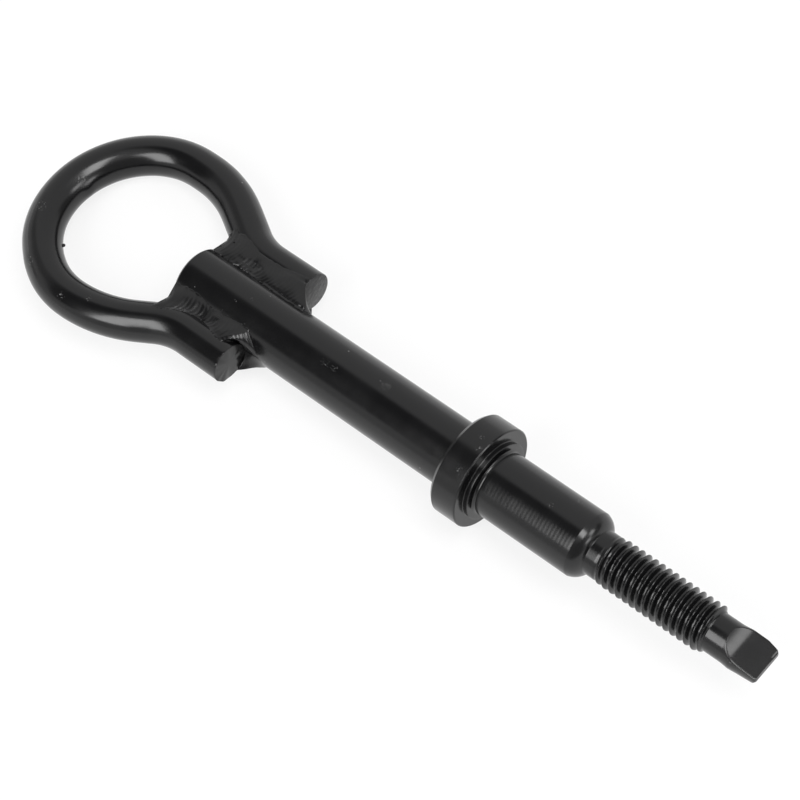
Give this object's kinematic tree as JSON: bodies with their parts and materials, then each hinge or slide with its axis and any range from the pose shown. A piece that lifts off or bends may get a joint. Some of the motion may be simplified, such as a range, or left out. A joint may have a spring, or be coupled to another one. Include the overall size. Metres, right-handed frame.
{
  "type": "tow eye",
  "caption": "Screw-in towing eye: a bent round-bar eye welded to a turned shank with a collar, a smooth guide and a coarse thread.",
  "frame": {"origin": "centre of the collar's front face, on the shank's axis, where the part seats against the car's towing socket", "axes": "+X along the shank towards the threaded tip, Y across the flat of the eye with the left leg on +Y, +Z out of the eye's flat side"},
  "size_m": [0.2961, 0.0776, 0.0346],
  "materials": {
    "coated_steel": "semi-gloss black dip coating on steel",
    "coated_weld": "semi-gloss black coating over a rippled weld"
  },
  "bodies": {
    "root": {"shank": "coated_steel", "eye_loop": "coated_steel", "weld_left_top": "coated_weld", "weld_left_bottom": "coated_weld", "weld_right_top": "coated_weld", "weld_right_bottom": "coated_weld"}
  },
  "joints": []
}
